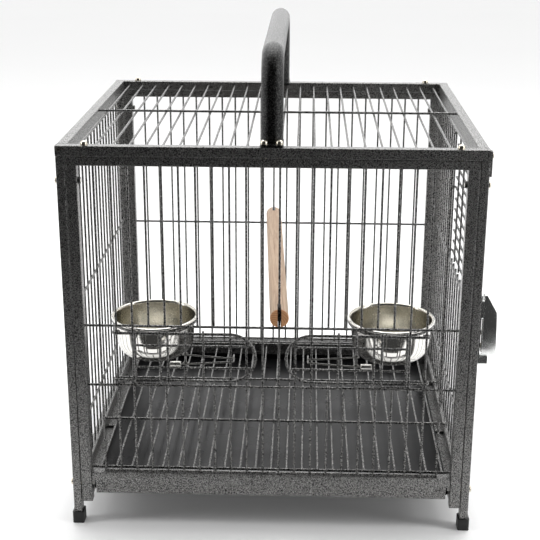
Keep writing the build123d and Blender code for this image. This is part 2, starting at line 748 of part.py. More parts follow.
# Hairpin: two strands from the eyes to a closed tip that is bent in beside a grille wire
with BuildPart() as hairpin:
    with BuildLine() as hairpin_path:
        open_eye(hairpin_pivot, upright_y, hairpin_high, hairpin_eye, eye_turn - 90, -eye_turn)
        FilletPolyline(at(hairpin_pivot, hairpin_y, hairpin_high),
                       at(hairpin_pivot - eye_lead, hairpin_y, hairpin_high),
                       at(tip_start, hairpin_y, tip_high), at(hairpin_tip, hairpin_y, tip_high),
                       at(hairpin_tip, hairpin_tip_depth, tip_high),
                       at(hairpin_tip, hairpin_tip_depth, tip_low),
                       at(hairpin_tip, hairpin_y, tip_low), at(tip_start, hairpin_y, tip_low),
                       at(hairpin_pivot - eye_lead, hairpin_y, hairpin_low),
                       at(hairpin_pivot + hairpin_tail, hairpin_y, hairpin_low), radius=hairpin_wire * 0.9)
    with BuildSketch(Plane(origin=hairpin_path.wires()[0] @ 0, z_dir=hairpin_path.wires()[0] % 0)):
        Circle(hairpin_wire / 2)
    sweep(path=hairpin_path.wires()[0])
    ring(hairpin_pivot, upright_y, hairpin_low, hairpin_eye, hairpin_wire * 0.9)
hairpin.part.label = "hairpin_right"
export_step(hairpin.part, "parts/hairpin_right.step")

with BuildPart() as ferrule:
    with BuildSketch(flank(hairpin_pivot + ferrule_start)):
        with Locations((hairpin_y, hairpin_low)):
            Circle(ferrule_width / 2)
    extrude(amount=ferrule_length)
    fillet(ferrule.edges().filter_by(GeomType.CIRCLE), ferrule_width / 10)
    with BuildSketch(flank(hairpin_pivot + ferrule_start)):
        with Locations((hairpin_y, hairpin_low)):
            Circle(hairpin_wire / 2)
    extrude(amount=ferrule_length, mode=Mode.SUBTRACT)
ferrule.part.label = "ferrule_right"
export_step(ferrule.part, "parts/ferrule_right.step")

# The left feeder door and all that it carries are the mirror image of the right ones
for piece, word in ((feeder_door, "feeder_door"), (cup_hanger, "cup_hanger"), (cup, "cup"),
                    (hairpin, "hairpin"), (ferrule, "ferrule")):
    with BuildPart() as left_piece:
        mirror(piece.part, about=flank(0))
    left_piece.part.label = f"{word}_left"
    export_step(left_piece.part, f"parts/{word}_left.step")

# Mesh door: bars from its free edge to the hinge, three of them with eyes round a side wire
door_eye = wire / 2 + loose + bar / 2
door_bar_x = side_wire_x + door_eye
door_upright_x = door_bar_x - wire_to_bar
door_upright_places = [side_places[i] for i in range(0, door_hinge_number - 1, 2)] + [door_edge_wire]
door_top_bar = door_low_bar + (door_bar_count - 1) * door_bar_pitch
with BuildPart() as side_door:
    for i in range(door_bar_count):
        bar_height = door_low_bar + i * door_bar_pitch
        if i in (0, door_bar_count // 2, door_bar_count - 1):
            with BuildLine() as eye_path:
                Line(at(door_bar_x, door_edge_depth, bar_height), at(door_bar_x, door_hinge_y, bar_height))
                open_eye(side_wire_x, door_hinge_y, bar_height, door_eye, 0, eye_turn)
            with BuildSketch(upright(door_edge_depth)):
                with Locations((door_bar_x, bar_height)):
                    Circle(bar / 2)
            sweep(path=eye_path.wires()[0])
        else:
            rods(upright(door_hinge_y - door_end_gap), [(door_bar_x, bar_height)], bar,
                 door_hinge_y - door_end_gap - door_edge_depth)
    rods(level(door_low_bar - door_upright_below), [(door_upright_x, y) for y in door_upright_places], wire,
         door_top_bar - door_low_bar + door_upright_below + door_upright_above)
side_door.part.label = "side_door"
export_step(side_door.part, "parts/side_door.step")

# Latch of the mesh door, on the outer face of the right front post
plate_face = half_width + latch_sheet
cam_back = plate_face + cam_play
lever_back = cam_back + cam_sheet
lever_face = half_width + lever_reach
with BuildPart() as latch_plate:
    with BuildSketch(flank(half_width)):
        with Locations((front_wire_y, (latch_bottom + latch_top) / 2)):
            RectangleRounded(latch_width, latch_top - latch_bottom, 2)
        with Locations((front_wire_y, latch_pivot)):
            Circle(spindle / 2 + spindle_play, mode=Mode.SUBTRACT)
    extrude(amount=latch_sheet)
    with BuildSketch(flank(half_width)):
        with Locations((front_wire_y, latch_bottom + latch_block_height / 2)):
            RectangleRounded(latch_width, latch_block_height, 2)
    extrude(amount=latch_block_depth)
    fillet(latch_plate.faces().sort_by(Axis.X)[-1].edges(), 0.8)
latch_plate.part.label = "latch_plate"
export_step(latch_plate.part, "parts/latch_plate.step")

with BuildPart() as latch_screws:
    with BuildSketch(flank(plate_face)):
        with Locations(*[(front_wire_y, height) for height in latch_screw_heights]):
            Circle(latch_screw_head / 2)
    extrude(amount=latch_screw_height)
    fillet(latch_screws.faces().group_by(Axis.X)[-1].edges(), latch_screw_height * 0.6)
latch_screws.part.label = "latch_screws"
export_step(latch_screws.part, "parts/latch_screws.step")

with BuildPart() as latch_cam:
    with BuildSketch(flank(cam_back)):
        with Locations((front_wire_y, latch_pivot - (cam_length - cam_width) / 2)):
            SlotOverall(cam_length, cam_width, rotation=90)
        with Locations((front_wire_y, latch_pivot)):
            Circle(spindle / 2, mode=Mode.SUBTRACT)
    extrude(amount=cam_sheet)
latch_cam.part.label = "latch_cam"
export_step(latch_cam.part, "parts/latch_cam.step")

# Lever: a folded shell, open towards the post below its pivot web
crown_x = lever_back + lever_crown
shoulder_z = latch_top - lever_bevel
with BuildPart() as latch_lever:
    with BuildSketch(upright(front_wire_y + latch_width / 2)):
        with BuildLine():
            Polyline((lever_back, lever_bottom), (lever_face, lever_bottom),
                     (lever_face - lever_slope, shoulder_z), (crown_x, latch_top),
                     (lever_back, latch_top), close=True)
        make_face()
    extrude(amount=latch_width)
    with BuildSketch(upright(front_wire_y + latch_width / 2 - lever_wall)):
        with BuildLine():
            Polyline((lever_back - lever_wall, lever_bottom + lever_wall),
                     (lever_face - lever_wall, lever_bottom + lever_wall),
                     (lever_face - lever_slope - lever_wall, shoulder_z - lever_wall / 2),
                     (crown_x - lever_wall / 2, latch_top - lever_wall),
                     (lever_back - lever_wall, latch_top - lever_wall), close=True)
        make_face()
    extrude(amount=latch_width - 2 * lever_wall, mode=Mode.SUBTRACT)
    with BuildSketch(flank(lever_back)):
        with Locations((front_wire_y, latch_pivot)):
            Rectangle(latch_width - lever_wall, 2 * (latch_top - latch_pivot) - lever_wall)
            Circle(spindle / 2, mode=Mode.SUBTRACT)
    extrude(amount=lever_wall)
latch_lever.part.label = "latch_lever"
export_step(latch_lever.part, "parts/latch_lever.step")

with BuildPart() as latch_spindle:
    with BuildSketch(flank(half_width + cam_play)):
        with Locations((front_wire_y, latch_pivot)):
            Circle(spindle / 2)
    extrude(amount=lever_back + 2 * lever_wall - half_width - cam_play)
latch_spindle.part.label = "latch_spindle"
export_step(latch_spindle.part, "parts/latch_spindle.step")

# Strap over the front corner of the right side, with its screw
with BuildPart() as corner_strap:
    with BuildSketch(flank(half_width)):
        with Locations((front_wire_y, (strap_bottom + strap_top) / 2)):
            RectangleRounded(strap_width, strap_top - strap_bottom, 1)
    extrude(amount=strap_sheet)
    fillet(corner_strap.faces().sort_by(Axis.X)[-1].edges(), 0.6)
corner_strap.part.label = "corner_strap"
export_step(corner_strap.part, "parts/corner_strap.step")

with BuildPart() as strap_screw:
    with BuildSketch(flank(half_width + strap_sheet)):
        with Locations((front_wire_y, strap_screw_height)):
            Circle(strap_screw_head / 2)
    extrude(amount=latch_screw_height)
    fillet(strap_screw.faces().sort_by(Axis.X)[-1].edges(), latch_screw_height * 0.6)
strap_screw.part.label = "strap_screw"
export_step(strap_screw.part, "parts/strap_screw.step")
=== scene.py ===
"""Looks of the travel bird cage: its finishes, spun cups, eased pieces, studio and camera.

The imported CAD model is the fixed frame. All places are in metres in that same frame: x runs to
the right of the cage, y from its front to its back, z up from the floor.
"""

import json
import math

import bmesh
import bpy
from mathutils import Matrix, Vector

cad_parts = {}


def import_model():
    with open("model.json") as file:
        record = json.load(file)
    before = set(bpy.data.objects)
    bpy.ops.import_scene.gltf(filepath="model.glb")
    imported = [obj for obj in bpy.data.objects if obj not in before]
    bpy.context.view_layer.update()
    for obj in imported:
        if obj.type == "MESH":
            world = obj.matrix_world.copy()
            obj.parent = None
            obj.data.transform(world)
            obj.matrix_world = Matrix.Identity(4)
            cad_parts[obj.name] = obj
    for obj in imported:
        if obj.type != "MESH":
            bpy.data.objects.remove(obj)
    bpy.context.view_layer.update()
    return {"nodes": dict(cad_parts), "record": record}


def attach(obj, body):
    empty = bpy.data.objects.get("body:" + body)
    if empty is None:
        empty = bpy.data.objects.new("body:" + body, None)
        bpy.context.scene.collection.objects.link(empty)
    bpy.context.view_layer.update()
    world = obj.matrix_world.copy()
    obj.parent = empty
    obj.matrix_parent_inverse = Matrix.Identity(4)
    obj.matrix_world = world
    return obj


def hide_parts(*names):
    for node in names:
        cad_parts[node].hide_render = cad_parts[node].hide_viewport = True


MM = 0.001

# Camera, as solved from the photograph, with its turns in degrees
CAMERA_PLACE = (0.02948, -1.48362, 0.7548)
CAMERA_YAW = -1.782
CAMERA_DIP = 18.547
CAMERA_ROLL = 0.233
CAMERA_LENS = 78.37
SENSOR_WIDTH = 36.0
CLIP_START = 0.05
CLIP_END = 100

# Cups: where each hangs and the half section of its bowl, as radius and height in mm
CUP_CENTRES = {"cup_left": (-0.1521, -0.148425), "cup_right": (0.1349, -0.148425)}
CUP_OUTSIDE = [
    (0.0, 197.6), (19.0, 197.5), (24.0, 197.0), (28.5, 197.3), (35.0, 199.6), (41.3, 204.0),
    (45.2, 210.2), (47.0, 217.5), (47.8, 226.0), (48.7, 237.0), (49.2, 243.8),
]
CUP_RIM = [
    (50.4, 245.0), (52.3, 245.1), (53.3, 246.6), (52.8, 248.2), (51.3, 248.85), (49.7, 248.3),
    (48.7, 246.5),
]
CUP_INSIDE = [
    (48.3, 243.0), (47.9, 237.0), (47.0, 226.0), (46.2, 218.0), (44.4, 211.0), (40.7, 204.9),
    (34.6, 200.5), (28.3, 198.2), (24.0, 197.9), (0.0, 198.4),
]
CUP_STEPS = 40
CUP_WELD = 0.01 * MM
CUP_MOUTH = 0.048
CUP_BOTTOM_RISE = 0.3
CUP_SMOOTH_BELOW = math.radians(80)
CUP_ROUNDING = 2
CUP_PATCH_SCALE = 30.0
CUP_RING_SCALE = 130.0
CUP_RING_DEPTH = 0.006 * MM

# Perch: the dowel runs almost straight back, turned a little about the upright
PERCH_MIDDLE = (-0.0086, 0.0021, 0.27135)
PERCH_TURN = math.atan2(19.0, 430.3)
PERCH_HALF_LENGTH = 0.2212
PERCH_SLOT_HALF = 0.0021
PERCH_SLOT_LENGTH = 0.020

# Beech: how far the grain is drawn out, the rings' middle and the depths at which one look
# gives way to the next
GRAIN_DRAWN_OUT = (1.0, 0.045, 1.0)
RING_MIDDLE = (0.006, 0, 0.009)
GRAIN_DEPTH = 0.12 * MM
SAWN_FROM = 0.0012
SAWN_FULL = 0.0006
SLOT_BLUR = 0.0003
SLOT_END_BLUR = 0.0005
BEECH_DARK = (0.29, 0.17, 0.10, 1)
BEECH_PALE = (0.52, 0.37, 0.245, 1)
BEECH_FLECK = (0.25, 0.13, 0.07, 1)
SAWN_DARK = (0.60, 0.27, 0.12, 1)
SAWN_PALE = (0.80, 0.43, 0.21, 1)
# Painted shade: near-black brown laid over the slot walls, for the shade inside the narrow cuts
SLOT_PAINTED_SHADE = (0.035, 0.012, 0.006, 1)

# Hammered paint: how much finer the sparkle is than the cells, its share of the pattern, and how
# far below and above the vein level the veins fade in
SPARKLE_FINER = 2.7
SPARKLE_SHARE = 0.38
VEIN_BELOW = 0.075
VEIN_ABOVE = 0.095

# Nodes whose finish isn't the plain one of their material slot
OWN_FINISHES = {
    "handle": "handle_paint",
    "handle_feet": "handle_paint",
    "hairpin_left": "dark_pin",
    "hairpin_right": "dark_pin",
    "corner_nuts": "dark_pin",
    "tray_screws": "frame_paint",
}

# Nodes whose edges are rounded off: node, finish, material slot and size of the rounding
EASED_NODES = (
    ("foot_caps", "foot_rubber", "foot_rubber", 0.9 * MM),
    ("latch_lever", "latch_steel", "latch_steel", 0.35 * MM),
    ("latch_plate", "latch_steel", "latch_steel", 0.3 * MM),
    ("handle_feet", "handle_paint", "frame_paint", 0.6 * MM),
    ("tray_front", "frame_paint", "frame_paint", 0.3 * MM),
)
EASE_WELD = 0.002 * MM
EASE_SEGMENTS = 2
FLAT_WITHIN = math.radians(1)
SHARP_ABOVE = math.radians(35)
SMOOTH_BELOW = math.radians(32)

# Floor: it starts a little in front of the cage and runs far back
FLOOR_HALF = 20.0
FLOOR_FRONT = -0.5
FLOOR_CELLS = 4
FLOOR_GLOW = 0.06

# Room light: the way to its bright side, where the light fades in, and its levels
BRIGHT_WAY = (0, 0.93, 0.37)
DIM_END = 0.50
BRIGHT_START = 0.72
DIM_COLOUR = (0.032, 0.032, 0.032, 1)
WHITE = (1, 1, 1, 1)
ROOM_STRENGTH = 1.6

# Soft lights: name, place, the point that each faces, width, height and watts
CAGE_MIDDLE = (0, 0, 0.25)
LATCH = (0.24, -0.1, 0.27)
SOFTBOXES = (
    ("overhead softbox", (0.0, 0.75, 2.1), CAGE_MIDDLE, 2.2, 1.4, 30),
    ("left strip", (-1.9, -0.5, 0.9), CAGE_MIDDLE, 0.4, 1.6, 13),
    ("latch card", (1.0, -0.9, 0.12), LATCH, 0.4, 0.4, 1.2),
    ("right strip", (1.8, -0.6, 0.9), CAGE_MIDDLE, 0.4, 1.6, 16),
)


def add_node(tree, kind, place, inputs=None, **settings):
    """Adds a node at a place in the editor and sets its settings and the inputs that aren't linked."""
    made = tree.nodes.new(kind)
    made.location = place
    for name, value in settings.items():
        setattr(made, name, value)
    for name, value in (inputs or {}).items():
        made.inputs[name].default_value = value
    return made


def new_group(name, inputs, outputs):
    """An empty shader node group with named sockets, with its input and output nodes."""
    group = bpy.data.node_groups.new(name, "ShaderNodeTree")
    for label, kind in inputs:
        group.interface.new_socket(label, in_out="INPUT", socket_type=kind)
    for label, kind in outputs:
        group.interface.new_socket(label, in_out="OUTPUT", socket_type=kind)
    entry = add_node(group, "NodeGroupInput", (-1100, 0))
    way_out = add_node(group, "NodeGroupOutput", (500, 0))
    return group, entry, way_out


def make_hammer_group():
    """Hammered paint: light silver veins between rounded dark cells, with a fine sparkle."""
    group, entry, way_out = new_group(
        "hammered paint",
        [
            ("Position", "NodeSocketVector"),
            ("Cell Scale", "NodeSocketFloat"),
            ("Vein Level", "NodeSocketFloat"),
            ("Cell Colour", "NodeSocketColor"),
            ("Vein Colour", "NodeSocketColor"),
        ],
        [
            ("Colour", "NodeSocketColor"),
            ("Veins", "NodeSocketFloat"),
            ("Height", "NodeSocketFloat"),
        ],
    )
    link = group.links.new
    cells = add_node(
        group, "ShaderNodeTexNoise", (-850, 150),
        {"Detail": 1.5, "Roughness": 0.6, "Distortion": 0.9},
    )
    link(entry.outputs["Position"], cells.inputs["Vector"])
    link(entry.outputs["Cell Scale"], cells.inputs["Scale"])
    finer = add_node(
        group, "ShaderNodeMath", (-850, -150), {1: SPARKLE_FINER}, operation="MULTIPLY"
    )
    link(entry.outputs["Cell Scale"], finer.inputs[0])
    sparkle = add_node(
        group, "ShaderNodeTexNoise", (-650, -150), {"Detail": 0.0, "Distortion": 0.3}
    )
    link(entry.outputs["Position"], sparkle.inputs["Vector"])
    link(finer.outputs[0], sparkle.inputs["Scale"])
    blended = add_node(
        group, "ShaderNodeMix", (-450, 50), {"Factor": SPARKLE_SHARE}, data_type="FLOAT"
    )
    link(cells.outputs["Fac"], blended.inputs["A"])
    link(sparkle.outputs["Fac"], blended.inputs["B"])
    low = add_node(group, "ShaderNodeMath", (-450, -150), {1: VEIN_BELOW}, operation="SUBTRACT")
    link(entry.outputs["Vein Level"], low.inputs[0])
    high = add_node(group, "ShaderNodeMath", (-450, -320), {1: VEIN_ABOVE}, operation="ADD")
    link(entry.outputs["Vein Level"], high.inputs[0])
    veins = add_node(
        group, "ShaderNodeMapRange", (-200, 50), interpolation_type="SMOOTHSTEP"
    )
    link(blended.outputs["Result"], veins.inputs["Value"])
    link(low.outputs[0], veins.inputs["From Min"])
    link(high.outputs[0], veins.inputs["From Max"])
    colour = add_node(group, "ShaderNodeMix", (150, 150), data_type="RGBA")
    link(veins.outputs["Result"], colour.inputs["Factor"])
    link(entry.outputs["Cell Colour"], colour.inputs["A"])
    link(entry.outputs["Vein Colour"], colour.inputs["B"])
    link(colour.outputs["Result"], way_out.inputs["Colour"])
    link(veins.outputs["Result"], way_out.inputs["Veins"])
    link(blended.outputs["Result"], way_out.inputs["Height"])
    return group


def make_handling_group():
    """Handling: broad soft patches where dust and fingers change the sheen, with a fine grain."""
    group, entry, way_out = new_group(
        "handling marks",
        [
            ("Position", "NodeSocketVector"),
            ("Patch Scale", "NodeSocketFloat"),
            ("Grain Scale", "NodeSocketFloat"),
            ("Cleanest", "NodeSocketFloat"),
            ("Dullest", "NodeSocketFloat"),
        ],
        [("Sheen", "NodeSocketFloat"), ("Grain", "NodeSocketFloat")],
    )
    link = group.links.new
    patches = add_node(
        group, "ShaderNodeTexNoise", (-700, 150), {"Detail": 4.0, "Roughness": 0.6}
    )
    link(entry.outputs["Position"], patches.inputs["Vector"])
    link(entry.outputs["Patch Scale"], patches.inputs["Scale"])
    grain = add_node(group, "ShaderNodeTexNoise", (-700, -150), {"Detail": 2.0})
    link(entry.outputs["Position"], grain.inputs["Vector"])
    link(entry.outputs["Grain Scale"], grain.inputs["Scale"])
    sheen = add_node(
        group, "ShaderNodeMapRange", (-300, 100), {"From Min": 0.35, "From Max": 0.68}
    )
    link(patches.outputs["Fac"], sheen.inputs["Value"])
    link(entry.outputs["Cleanest"], sheen.inputs["To Min"])
    link(entry.outputs["Dullest"], sheen.inputs["To Max"])
    link(sheen.outputs["Result"], way_out.inputs["Sheen"])
    link(grain.outputs["Fac"], way_out.inputs["Grain"])
    return group


def new_finish(name, **values):
    """A material, its node tree, its surface shader and the object's own coordinates."""
    finish = bpy.data.materials.new(name)
    finish.use_nodes = True
    tree = finish.node_tree
    surface = tree.nodes["Principled BSDF"]
    surface.location = (300, 0)
    for label, value in values.items():
        surface.inputs[label.replace("_", " ")].default_value = value
    places = add_node(tree, "ShaderNodeTexCoord", (-1300, 0))
    return finish, tree, surface, places.outputs["Object"]


def add_bump(tree, surface, height, distance):
    """Raises the surface a little where the height is large."""
    bump = add_node(tree, "ShaderNodeBump", (50, -350), {"Strength": 1.0, "Distance": distance})
    tree.links.new(height, bump.inputs["Height"])
    tree.links.new(bump.outputs["Normal"], surface.inputs["Normal"])


def hammered_paint(name, hammer, *, scale, level, cell, vein, gloss, metal, bump):
    """Dark hammered paint with silver veins, as on the tubes and the wires."""
    finish, tree, surface, position = new_finish(name, Metallic=metal)
    paint = add_node(
        tree, "ShaderNodeGroup", (-900, 100),
        {
            "Cell Scale": scale,
            "Vein Level": level,
            "Cell Colour": (*cell, 1),
            "Vein Colour": (*vein, 1),
        },
        node_tree=hammer,
    )
    tree.links.new(position, paint.inputs["Position"])
    tree.links.new(paint.outputs["Colour"], surface.inputs["Base Color"])
    sheen = add_node(
        tree, "ShaderNodeMapRange", (-400, -100), {"To Min": gloss[0], "To Max": gloss[1]}
    )
    tree.links.new(paint.outputs["Veins"], sheen.inputs["Value"])
    tree.links.new(sheen.outputs["Result"], surface.inputs["Roughness"])
    add_bump(tree, surface, paint.outputs["Height"], bump)
    return finish


def smooth_finish(name, handling, *, colour, metal, gloss, grain, bump, patch, shine=0.5):
    """One even colour whose sheen and fine grain vary, as on rubber, plastic and plated steel."""
    finish, tree, surface, position = new_finish(
        name, Base_Color=(*colour, 1), Metallic=metal, Specular_IOR_Level=shine
    )
    marks = add_node(
        tree, "ShaderNodeGroup", (-900, 100),
        {"Patch Scale": patch, "Grain Scale": grain, "Cleanest": gloss[0], "Dullest": gloss[1]},
        node_tree=handling,
    )
    tree.links.new(position, marks.inputs["Position"])
    tree.links.new(marks.outputs["Sheen"], surface.inputs["Roughness"])
    add_bump(tree, surface, marks.outputs["Grain"], bump)
    return finish


def spun_steel(name, handling, *, centre, colour, gloss):
    """Stainless steel with the faint rings that spinning leaves round the cup's middle."""
    finish, tree, surface, position = new_finish(name, Base_Color=(*colour, 1), Metallic=1.0)
    centred = add_node(
        tree, "ShaderNodeMapping", (-1100, -250), {"Location": (*centre, 0)},
        vector_type="TEXTURE",
    )
    tree.links.new(position, centred.inputs["Vector"])
    rings = add_node(
        tree, "ShaderNodeTexWave", (-850, -250),
        {"Scale": CUP_RING_SCALE, "Distortion": 0.6, "Detail": 2.0, "Detail Scale": 3.0},
        wave_type="RINGS", rings_direction="SPHERICAL",
    )
    tree.links.new(centred.outputs["Vector"], rings.inputs["Vector"])
    marks = add_node(
        tree, "ShaderNodeGroup", (-850, 150),
        {"Patch Scale": CUP_PATCH_SCALE, "Cleanest": gloss[0], "Dullest": gloss[1]},
        node_tree=handling,
    )
    tree.links.new(position, marks.inputs["Position"])
    tree.links.new(marks.outputs["Sheen"], surface.inputs["Roughness"])
    add_bump(tree, surface, rings.outputs["Fac"], CUP_RING_DEPTH)
    return finish


def beech_wood(name):
    """Pale beech: long soft grain with short flecks, warmer sawn ends with rings, and painted shade
    darkening the slots.
    """
    finish, tree, surface, position = new_finish(name, Roughness=0.52)
    link = tree.links.new
    along = add_node(
        tree, "ShaderNodeMapping", (-1300, 250),
        {"Location": PERCH_MIDDLE, "Rotation": (0, 0, PERCH_TURN)}, vector_type="TEXTURE",
    )
    link(position, along.inputs["Vector"])
    drawn_out = add_node(tree, "ShaderNodeMapping", (-1100, 450), {"Scale": GRAIN_DRAWN_OUT})
    link(along.outputs["Vector"], drawn_out.inputs["Vector"])
    grain = add_node(
        tree, "ShaderNodeTexNoise", (-900, 550),
        {"Scale": 190.0, "Detail": 5.0, "Roughness": 0.62, "Distortion": 1.4},
    )
    flecks = add_node(
        tree, "ShaderNodeTexNoise", (-900, 300), {"Scale": 850.0, "Detail": 1.0}
    )
    link(drawn_out.outputs["Vector"], grain.inputs["Vector"])
    link(drawn_out.outputs["Vector"], flecks.inputs["Vector"])
    side = add_node(tree, "ShaderNodeValToRGB", (-700, 550))
    dark, pale = side.color_ramp.elements
    dark.position = 0.30
    dark.color = BEECH_DARK
    pale.position = 0.62
    pale.color = BEECH_PALE
    link(grain.outputs["Fac"], side.inputs["Fac"])
    fleck_mask = add_node(
        tree, "ShaderNodeMapRange", (-700, 300),
        {"From Min": 0.62, "From Max": 0.74, "To Max": 0.35},
    )
    link(flecks.outputs["Fac"], fleck_mask.inputs["Value"])
    flecked = add_node(
        tree, "ShaderNodeMix", (-420, 500), {"B": BEECH_FLECK}, data_type="RGBA"
    )
    link(fleck_mask.outputs["Result"], flecked.inputs["Factor"])
    link(side.outputs["Color"], flecked.inputs["A"])
    rings = add_node(
        tree, "ShaderNodeTexWave", (-900, 0),
        {"Scale": 120.0, "Distortion": 1.6, "Detail": 2.0},
        wave_type="RINGS", rings_direction="Y",
    )
    off_centre = add_node(tree, "ShaderNodeMapping", (-1100, 0), {"Location": RING_MIDDLE})
    link(along.outputs["Vector"], off_centre.inputs["Vector"])
    link(off_centre.outputs["Vector"], rings.inputs["Vector"])
    sawn = add_node(
        tree, "ShaderNodeMix", (-420, 100), {"A": SAWN_DARK, "B": SAWN_PALE}, data_type="RGBA"
    )
    link(rings.outputs["Fac"], sawn.inputs["Factor"])
    parts = add_node(tree, "ShaderNodeSeparateXYZ", (-900, -250))
    link(along.outputs["Vector"], parts.inputs["Vector"])
    reach = add_node(tree, "ShaderNodeMath", (-700, -250), operation="ABSOLUTE")
    link(parts.outputs["Y"], reach.inputs[0])
    at_end = add_node(
        tree, "ShaderNodeMapRange", (-420, -250),
        {"From Min": PERCH_HALF_LENGTH - SAWN_FROM, "From Max": PERCH_HALF_LENGTH - SAWN_FULL},
    )
    link(reach.outputs[0], at_end.inputs["Value"])
    timber = add_node(tree, "ShaderNodeMix", (-100, 300), data_type="RGBA")
    link(at_end.outputs["Result"], timber.inputs["Factor"])
    link(flecked.outputs["Result"], timber.inputs["A"])
    link(sawn.outputs["Result"], timber.inputs["B"])
    aside = add_node(tree, "ShaderNodeMath", (-700, -450), operation="ABSOLUTE")
    link(parts.outputs["X"], aside.inputs[0])
    in_slot = add_node(
        tree, "ShaderNodeMapRange", (-420, -450),
        {"From Min": PERCH_SLOT_HALF + SLOT_BLUR, "From Max": PERCH_SLOT_HALF},
    )
    link(aside.outputs[0], in_slot.inputs["Value"])
    slot_start = PERCH_HALF_LENGTH - PERCH_SLOT_LENGTH
    near_end = add_node(
        tree, "ShaderNodeMapRange", (-420, -650),
        {"From Min": slot_start, "From Max": slot_start + SLOT_END_BLUR},
    )
    link(reach.outputs[0], near_end.inputs["Value"])
    slot_shade_mask = add_node(tree, "ShaderNodeMath", (-200, -500), operation="MULTIPLY")
    link(in_slot.outputs["Result"], slot_shade_mask.inputs[0])
    link(near_end.outputs["Result"], slot_shade_mask.inputs[1])
    # Painted shade: the slot walls near each end turn near-black brown, standing in for shade inside
    # the cuts
    shaded_slot = add_node(tree, "ShaderNodeMix", (100, 300), {"B": SLOT_PAINTED_SHADE}, data_type="RGBA")
    link(slot_shade_mask.outputs[0], shaded_slot.inputs["Factor"])
    link(timber.outputs["Result"], shaded_slot.inputs["A"])
    link(shaded_slot.outputs["Result"], surface.inputs["Base Color"])
    add_bump(tree, surface, grain.outputs["Fac"], GRAIN_DEPTH)
    return finish


def make_finishes(handling):
    """One finish for each material slot of the record, and the own finishes of some nodes."""
    hammer = make_hammer_group()
    return {
        "frame_paint": hammered_paint(
            "hammered frame paint", hammer, scale=880.0, level=0.5,
            cell=(0.005, 0.005, 0.005), vein=(0.38, 0.376, 0.367),
            gloss=(0.22, 0.36), metal=0.75, bump=0.4 * MM,
        ),
        "handle_paint": hammered_paint(
            "black hammered handle paint", hammer, scale=760.0, level=0.58,
            cell=(0.003, 0.003, 0.003), vein=(0.12, 0.12, 0.116),
            gloss=(0.24, 0.36), metal=0.6, bump=0.4 * MM,
        ),
        "wire_paint": hammered_paint(
            "hammered wire paint", hammer, scale=800.0, level=0.52,
            cell=(0.003, 0.003, 0.003), vein=(0.40, 0.395, 0.385),
            gloss=(0.20, 0.34), metal=0.85, bump=0.4 * MM,
        ),
        "tray_paint": smooth_finish(
            "black tray enamel", handling, colour=(0.004, 0.004, 0.0045), metal=0.0,
            gloss=(0.22, 0.36), grain=700.0, bump=0.02 * MM, patch=9.0, shine=0.22,
        ),
        "foot_rubber": smooth_finish(
            "black foot rubber", handling, colour=(0.012, 0.012, 0.012), metal=0.0,
            gloss=(0.50, 0.68), grain=1500.0, bump=0.05 * MM, patch=60.0,
        ),
        "plug_plastic": smooth_finish(
            "black plug plastic", handling, colour=(0.014, 0.014, 0.014), metal=0.0,
            gloss=(0.32, 0.45), grain=1600.0, bump=0.02 * MM, patch=60.0,
        ),
        "latch_steel": smooth_finish(
            "polished latch plating", handling, colour=(0.80, 0.81, 0.80), metal=1.0,
            gloss=(0.10, 0.24), grain=500.0, bump=0.01 * MM, patch=45.0,
        ),
        "pin_steel": smooth_finish(
            "satin ferrule steel", handling, colour=(0.60, 0.59, 0.56), metal=1.0,
            gloss=(0.24, 0.38), grain=900.0, bump=0.01 * MM, patch=60.0,
        ),
        "dark_pin": smooth_finish(
            "dark pin wire", handling, colour=(0.16, 0.158, 0.15), metal=1.0,
            gloss=(0.22, 0.36), grain=900.0, bump=0.02 * MM, patch=60.0,
        ),
        "bolt_nickel": smooth_finish(
            "warm bolt nickel", handling, colour=(0.62, 0.575, 0.49), metal=1.0,
            gloss=(0.14, 0.28), grain=900.0, bump=0.01 * MM, patch=80.0,
        ),
        "perch_wood": beech_wood("pale beech perch"),
    }


def make_cup_finishes(handling, centre):
    """Mirror polish for the outside of a cup and a softer satin for its inside, whose darker, warmer
    colour is painted shade.
    """
    polished = spun_steel(
        "polished cup outside", handling, centre=centre, colour=(0.80, 0.785, 0.75),
        gloss=(0.04, 0.10),
    )
    # The inside's darker, warmer colour is painted shade of the bowl's hollow on the same steel
    satin = spun_steel(
        "satin cup inside with painted shade", handling, centre=centre, colour=(0.60, 0.58, 0.52),
        gloss=(0.16, 0.28),
    )
    return polished, satin


def finish_shape(name, shape, finish, smooth_below=SMOOTH_BELOW):
    """Turns a bmesh into an object at the origin with smooth faces and the given finish."""
    mesh = bpy.data.meshes.new(name)
    shape.to_mesh(mesh)
    shape.free()
    mesh.shade_smooth()
    mesh.set_sharp_from_angle(angle=smooth_below)
    piece = bpy.data.objects.new(name, mesh)
    bpy.context.scene.collection.objects.link(piece)
    mesh.materials.append(finish)
    return piece


